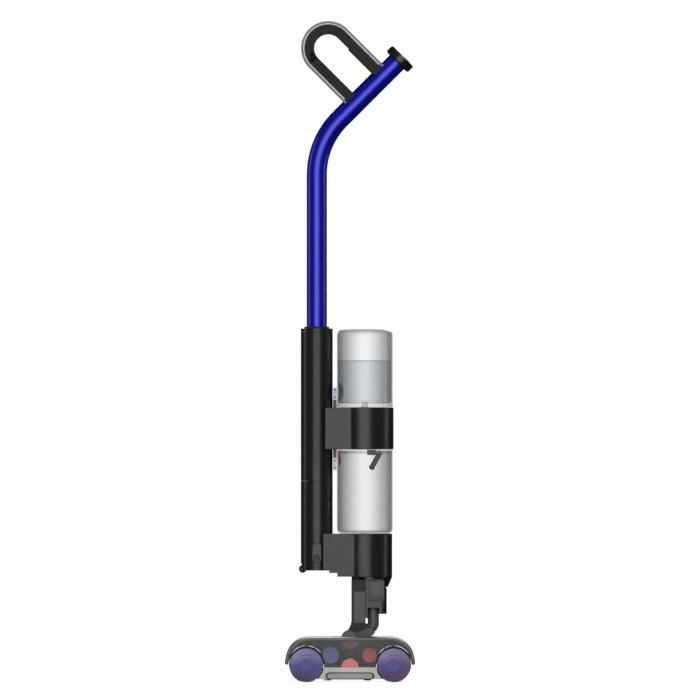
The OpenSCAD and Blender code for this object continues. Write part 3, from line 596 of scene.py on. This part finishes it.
# Hub rings, hub plates and studs on the visible roller ends.
for tag in ("rear", "front"):
    body = tag + "_roller"
    lo, hi = mm(body + "_cap")
    x, z = middle(lo, hi)
    y = lo[1]
    lathe_y(tag + "_hub_ring", [(13.4, y - 0.1), (13.4, y + 0.8), (12.2, y + 0.8), (12.2, y - 0.1)],
            x, z, CAP_HUB, body)
    lathe_y(tag + "_hub_plate", [(0.01, y - 0.25), (10.6, y - 0.25), (11.0, y + 0.1), (11.0, y + 0.8),
                                 (0.01, y + 0.8)], x, z, CAP_HUB, body)
    lathe_y(tag + "_mid_ring", [(18.2, y + 0.55), (18.2, y + 1.6), (17.0, y + 1.6), (17.0, y + 0.55)],
            x, z, CAP_HUB, body)
    for ring_no, (radius, count) in enumerate(((2.9, 6), (5.8, 12), (8.7, 18))):
        for i in range(count):
            a = 2 * math.pi * (i + 0.5 * ring_no) / count
            stud_x, stud_z = x + radius * math.cos(a), z + radius * math.sin(a)
            lathe_y(f"{tag}_stud_{ring_no}_{i}",
                    [(0.01, y - 0.8), (0.5, y - 0.75), (0.75, y - 0.25), (0.01, y - 0.2)],
                    stud_x, stud_z, DISC_BLUE, body, 12)

# ---------- head details ----------

win_y = cover_lo[1] + 4

# Dark line along the end panel's sill and over the red half-disc.
arc = [(HALF_DISC_R * math.cos(math.radians(a)), WINDOW_SILL + HALF_DISC_R * math.sin(math.radians(a)))
       for a in range(180, -1, -6)]
strip("window_edge", [(-WINDOW_HALF, WINDOW_SILL)] + arc + [(WINDOW_HALF, WINDOW_SILL)], 0.8,
      win_y - 0.3, win_y + 0.6, DEEP_BLACK, "head")

# Dark guard in the end panel's cut-out, round the top of each main roller.
for tag, side in (("rear", -1), ("front", 1)):
    guard = [(side * ROLLER_X + GUARD_R * math.cos(math.radians(a)),
              ROLLER_Z + GUARD_R * math.sin(math.radians(a)))
             for a in range(0, 181, 5)]
    strip(tag + "_roller_guard", guard, 1.6, win_y - 0.3, win_y + 5, DEEP_BLACK, "head")

# Round ends of the small inner rollers.
for tag, material in (("rear", DISC_BLUE), ("front", DISC_RED)):
    lo, hi = mm(tag + "_inner_sleeve")
    x, z = middle(lo, hi)
    y = min(lo[1], mm(tag + "_inner_core")[0][1])
    r = (hi[2] - lo[2]) / 2
    lathe_y(tag + "_inner_end",
            [(0.01, y - 1.1), (3.4, y - 1.1), (4.0, y - 0.6), (r - 5, y - 0.6), (r - 4.2, y - 1.0),
             (r - 1.6, y - 1.0), (r - 0.6, y - 0.3), (r - 0.6, y - 0.05), (0.01, y - 0.05)],
            x, z, material, tag + "_inner_roller", 72)

# Small screws at the drive end.
for i, (sx, sz) in enumerate(((-30, 20), (30, 20), (0, 14))):
    y = cover_hi[1] - 8
    lathe_y(f"drive_screw_{i}",
            [(0.01, y + 0.9), (2.6, y + 0.9), (3.0, y + 0.4), (3.0, y - 0.3), (0.01, y - 0.3)],
            sx, sz, STEEL, "head", 32)

# Painted shade: a dark ring laid round the tray's pull bar, standing for the shadow in the slot's recess.
bar_lo, bar_hi = mm("tray_handle")
bar_x, bar_z = middle(bar_lo, bar_hi)
bar_w, bar_h = bar_hi[0] - bar_lo[0], bar_hi[2] - bar_lo[2]
frame_prism("bar_slot_painted_shade", stadium(bar_x, bar_z, bar_w + 4.0, bar_h + 2.8),
            stadium(bar_x, bar_z, bar_w - 0.6, bar_h - 0.6), bar_lo[1] - 0.25, bar_lo[1] + 0.9, DEEP_BLACK, "tray")

# Painted shade: dark strips round the hinge dome and along the link's edge, where these parts meet in shadow.
hinge_z = mm("hinge_yoke")[1][2] - HINGE_DOME_R
for side, y0, y1 in (("right", -33.9, -33.2), ("left", 33.2, 33.9)):
    dome = []
    for a in range(4, 177, 4):
        t = math.radians(a)
        dome.append((DOME_SHADE_R * math.cos(t), hinge_z + DOME_SHADE_R * math.sin(t)))
    strip("dome_painted_shade_" + side, dome, 1.3, y0, y1, DEEP_BLACK, "head")
for side, y0, y1 in (("right", -26.9, -26.2), ("left", 26.2, 26.9)):
    t = LINK_TILT
    edge = [(LINK_START, -LINK_HALF), (20, -LINK_HALF), (LINK_REACH, -LINK_HALF)]
    for a in range(-75, 91, 15):
        a = math.radians(a)
        edge.append((LINK_REACH + LINK_HALF * math.cos(a), LINK_HALF * math.sin(a)))
    edge += [(20, LINK_HALF), (LINK_START, LINK_HALF)]
    path = [(u * math.cos(t) - v * math.sin(t), hinge_z + u * math.sin(t) + v * math.cos(t))
            for u, v in edge]
    strip("link_painted_shade_" + side, path, 1.2, y0, y1, DEEP_BLACK, "neck")

# ---------- neck details ----------

for s in (-1, 1):
    y0, y1 = (20.7, 21.2) if s > 0 else (-21.2, -20.7)
    side = "left" if s > 0 else "right"
    prism("neck_plate_" + side, [(31.4, 138), (59.4, 138), (59.4, 174), (58.4, 175.2), (31.4, 175.2)], y0, y1,
          PANEL, "neck", 0.6)

# ---------- charging socket ----------

port_lo, port_hi = mm("charging_port")
px, pz = middle(port_lo, port_hi)
pw, ph = port_hi[0] - port_lo[0], port_hi[2] - port_lo[2]
frame_prism("port_outline", stadium(px, pz, pw - 0.4, ph - 0.4), stadium(px, pz, pw - 2.6, ph - 2.6),
            port_lo[1] - 0.25, port_lo[1] + 0.5, DEEP_BLACK, "upper_body")
frame_prism("port_lip", stadium(px, pz, pw - 2.8, ph - 2.8), stadium(px, pz, pw - 3.8, ph - 3.8),
            port_lo[1] - 0.15, port_lo[1] + 0.5, MID, "upper_body")

lathe_y("socket_contact", [(0.01, -23.4), (1.5, -23.4), (1.7, -23.0), (1.7, -21.1), (0.01, -21.1)],
        SPINE_X, SOCKET_Z, DEEP_BLACK, "upper_body", 32)
lathe_y("socket_ring", [(5.6, -28.9), (5.6, -28.2), (4.05, -28.2), (4.05, -28.9)],
        SPINE_X, SOCKET_Z, DEEP_BLACK, "upper_body", 48)

# ---------- tank buttons and the keeper plates behind them ----------

for tank in ("clean_tank", "dirty_tank"):
    node, body = tank + "_button", tank + "_latch"
    lo, hi = mm(node)
    x, z = middle(lo, hi)
    y = lo[1]
    frame_prism(node + "_border", stadium(x, z, 8.4, 21.6), stadium(x, z, 5.2, 18.0),
                y - 0.35, y + 0.6, WHITE, body)
    prism(node + "_mark", stadium(x, z, 1.9, 10.5), y - 0.2, y + 0.3, WHITE, body, 0.1)


def keeper(name, z0, z1, half, material, body):
    """A curved keeper plate inside a tank's wall, where the latch grips."""
    verts, faces = [], []
    cols, rows = 24, 12
    for k in range(rows + 1):
        f = k / rows
        width = half * math.sqrt(max(0.0, 1 - (2 * f - 1) ** 4)) + 1.0
        for i in range(cols + 1):
            a = math.radians(180 - width + 2 * width * i / cols)
            for rr in (tank_r - 2.55, tank_r - 2.95):
                verts.append((tank_x + rr * math.cos(a), rr * math.sin(a), z0 + (z1 - z0) * f))
    row = 2 * (cols + 1)
    for k in range(rows):
        for i in range(cols):
            p = k * row + 2 * i
            faces.append((p, p + row, p + row + 2, p + 2))
            faces.append((p + 1, p + 3, p + row + 3, p + row + 1))
        p = k * row
        faces.append((p, p + 1, p + row + 1, p + row))
        q = k * row + 2 * cols
        faces.append((q, q + row, q + row + 1, q + 1))
    for i in range(cols):
        p = 2 * i
        faces.append((p, p + 2, p + 3, p + 1))
        q = rows * row + 2 * i
        faces.append((q, q + 1, q + 3, q + 2))
    return piece(name, verts, faces, material, body)


keeper("clean_keeper", tank_lo[2] + TANK_FLOOR, mm("clean_tank_button")[1][2] + 9, 34, KEEPER, "clean_tank")
dirty_b_lo, dirty_b_hi = mm("dirty_tank_button")
keeper("dirty_keeper", dirty_b_lo[2] + 6, dirty_b_hi[2] + 5, 24, RED, "dirty_tank")

# Dark sleeve and foot on the slanted deflector inside the dirty tank.
lid_lo, lid_hi = mm("dirty_tank_lid")
top = Vector((lid_hi[0] - 19.7, 0, lid_hi[2] - 1.7))
down = Vector((-math.sin(DEFLECTOR_TILT), 0, -math.cos(DEFLECTOR_TILT)))
side = Vector((0, 1, 0))
cross = down.cross(side)


def sleeve_on(name, profile, material, body, seg=48):
    """A turned shape along the deflector; profile is (radius, distance from its top) pairs."""
    verts = []
    n = len(profile)
    for i in range(seg):
        a = 2 * math.pi * i / seg
        for r, d in profile:
            v = top + down * d + (side * math.cos(a) + cross * math.sin(a)) * r
            verts.append((v.x, v.y, v.z))
    return piece(name, verts, closed_turn(seg, n), material, body)


sleeve_on("deflector_sleeve", [(4.05, 1.4), (4.5, 1.8), (4.5, 33.4), (4.05, 33.8)], MID, "dirty_tank")
seal_lo, seal_hi = lid_lo[2] + 24.2, lid_hi[2] - 0.4
lathe_z("inlet_seal", [(4.15, seal_lo), (8.4, seal_lo), (8.4, seal_hi), (4.15, seal_hi), (4.15, seal_lo)],
        top.x - 16, 0, DEEP_BLACK, "dirty_tank", 64)
sleeve_on("deflector_foot", [(0.01, 34.05), (0.01, 37.2), (2.4, 37.0), (5.4, 34.6), (5.4, 33.9), (4.7, 33.6),
                             (4.05, 34.05)], BLACK, "dirty_tank")

# ---------- water ----------

level = WATER_LEVEL
r = tank_r - TANK_WALL_INSET
floor_z = tank_lo[2] + TANK_FLOOR
profile = [(0.01, floor_z), (r - 1, floor_z), (r, floor_z + 1), (r, level + 0.9), (r - 0.9, level + 0.2),
           (r - 2.4, level), (0.01, level)]
lathe_z("clean_water", profile, tank_x, 0, WATER, "clean_tank")
lathe_z("water_line", [(r + 0.05, level - 0.6), (r + 0.35, level - 0.4), (r + 0.35, level + 0.9),
                       (r + 0.05, level + 1.1)], tank_x, 0, HOSE, "clean_tank")

# ---------- loop line ----------

# End of the wand's bend, the way the straight part runs on from it, and the way out from it.
tip = Vector((SPINE_X + WAND_BEND_R * (1 - math.cos(math.radians(45))), 0,
              WAND_BEND_Z + WAND_BEND_R * math.sin(math.radians(45))))
along = Vector((HALF, 0, HALF))
out = Vector((-HALF, 0, HALF))


def wand(n, s, y=0.0):
    """A point n out from the wand and s along it."""
    p = tip + out * n + along * s
    return (p.x, y, p.z)


def loop_line(name, r_out, r_in, y0, y1, material):
    """A thin line round the side of the loop handle."""
    outer, inner = [(LOOP_FOOT, LOOP_MID - r_out)], [(LOOP_FOOT, LOOP_MID - r_in)]
    for i in range(49):
        a = math.radians(-90 + 180 * i / 48)
        outer.append((LOOP_TURN + r_out * math.cos(a), LOOP_MID + r_out * math.sin(a)))
        inner.append((LOOP_TURN + r_in * math.cos(a), LOOP_MID + r_in * math.sin(a)))
    outer.append((LOOP_FOOT, LOOP_MID + r_out))
    inner.append((LOOP_FOOT, LOOP_MID + r_in))
    path = outer + inner[::-1]
    n = len(path)
    verts = [wand(a, b, y0) for a, b in path] + [wand(a, b, y1) for a, b in path]
    m = len(outer)
    faces = []
    for i in range(m - 1):
        j, k, l = i + 1, n - 2 - i, n - 1 - i
        faces.append((i, j, k, l))
        faces.append((i + n, l + n, k + n, j + n))
    for i in range(n):
        j = (i + 1) % n
        faces.append((i, i + n, j + n, j))
    return piece(name, verts, faces, material, "upper_body")


loop_line("loop_line_right", 43.1, 41.3, -14.35, -11.0, LIGHT_LINE)
loop_line("loop_line_left", 43.1, 41.3, 11.0, 14.35, LIGHT_LINE)

# ---------- wand gasket ----------

gasket = [(17.6, 0), (21.5, 0), (21.5, 2.2), (20.7, 3.2), (17.6, 3.6)]
lathe_z("wand_gasket", [(r, SPINE_TOP + z) for r, z in gasket], SPINE_X, 0, RUBBER, "upper_body")

# ---------- studio ----------


def stage_mesh(name, verts, faces, material):
    """A mesh of the surroundings, in metres."""
    mesh = bpy.data.meshes.new(name)
    mesh.from_pydata(verts, [], faces)
    mesh.materials.append(material)
    for p in mesh.polygons:
        p.use_smooth = True
    obj = bpy.data.objects.new(name, mesh)
    bpy.context.scene.collection.objects.link(obj)
    return obj


def backdrop_material():
    """White paper, softly uneven."""
    m = Mat("backdrop")
    m.color(m.noise(1.3, 3.0), lin("e2e2e2"), lin("ececec"))
    m.rough(m.noise(4.0, 3.0), 0.8, 0.95)
    m.bump(m.noise(60.0, 3.0), 0.05, 1.0)
    m.set(Specular_IOR_Level=0.1, Emission_Color=(1, 1, 1, 1), Emission_Strength=0.75)
    return m.m


def turned_stage(name, profile, material, seg=96):
    """An open surface turned about z; profile is (radius, z) pairs, in metres."""
    verts = []
    for i in range(seg):
        t = 2 * math.pi * i / seg
        for r, z in profile:
            verts.append((r * math.cos(t), r * math.sin(t), z))
    return stage_mesh(name, verts, open_turn(seg, len(profile)), material)


# A round floor, and a far wall all round it, so that every side of the machine has the same surroundings.
paper = backdrop_material()
floor = turned_stage("studio_floor", [(0.001, 0.0), (2.0, 0.0), (7.0, 0.0)], paper)
wall = turned_stage("studio_wall", [(60.0, -12.0), (60.0, 14.0), (60.0, 40.0)], paper)
wall.visible_shadow = False
for obj in (floor, wall):
    obj.visible_glossy = False
    obj.visible_diffuse = False

world = bpy.data.worlds.new("studio")
bpy.context.scene.world = world
world.use_nodes = True
world.node_tree.nodes["Background"].inputs["Color"].default_value = (1, 1, 1, 1)
world.node_tree.nodes["Background"].inputs["Strength"].default_value = 0.36
world.cycles_visibility.glossy = False
bpy.context.scene.view_settings.view_transform = "Standard"
bpy.context.scene.view_settings.look = "None"


def lamp(name, loc, aim, size, size_y, watts):
    """A rectangular lamp that faces a point."""
    data = bpy.data.lights.new(name, "AREA")
    data.shape = "RECTANGLE"
    data.size, data.size_y = size, size_y
    data.energy = watts
    obj = bpy.data.objects.new(name, data)
    obj.location = loc
    obj.rotation_euler = (Vector(aim) - Vector(loc)).to_track_quat("-Z", "Y").to_euler()
    bpy.context.scene.collection.objects.link(obj)
    return obj


lamp("front", (-0.1, -4.0, 0.75), (0, 0, 0.55), 3.2, 2.6, 84)
lamp("back", (0.5, 4.0, 2.2), (0, 0, 0.55), 2.6, 1.8, 90)
lamp("top", (0, -0.4, 3.4), (0, 0, 0.4), 2.0, 1.6, 30)
lamp("rim_left", (-3.2, 0.4, 1.1), (0, 0, 0.5), 0.6, 2.2, 10)
lamp("rim_right", (3.2, 0.4, 1.1), (0, 0, 0.5), 0.6, 2.2, 10)

cam_data = bpy.data.cameras.new("camera")
cam_data.sensor_width = 36
cam_data.lens = cam_data.sensor_width * CAMERA_AWAY / VIEW_WIDTH
cam = bpy.data.objects.new("camera", cam_data)
cam.location = (0, -CAMERA_AWAY, CAMERA_Z)
cam.rotation_euler = (math.radians(90), 0, 0)
cam_data.clip_end = 120
bpy.context.scene.collection.objects.link(cam)
bpy.context.scene.camera = cam
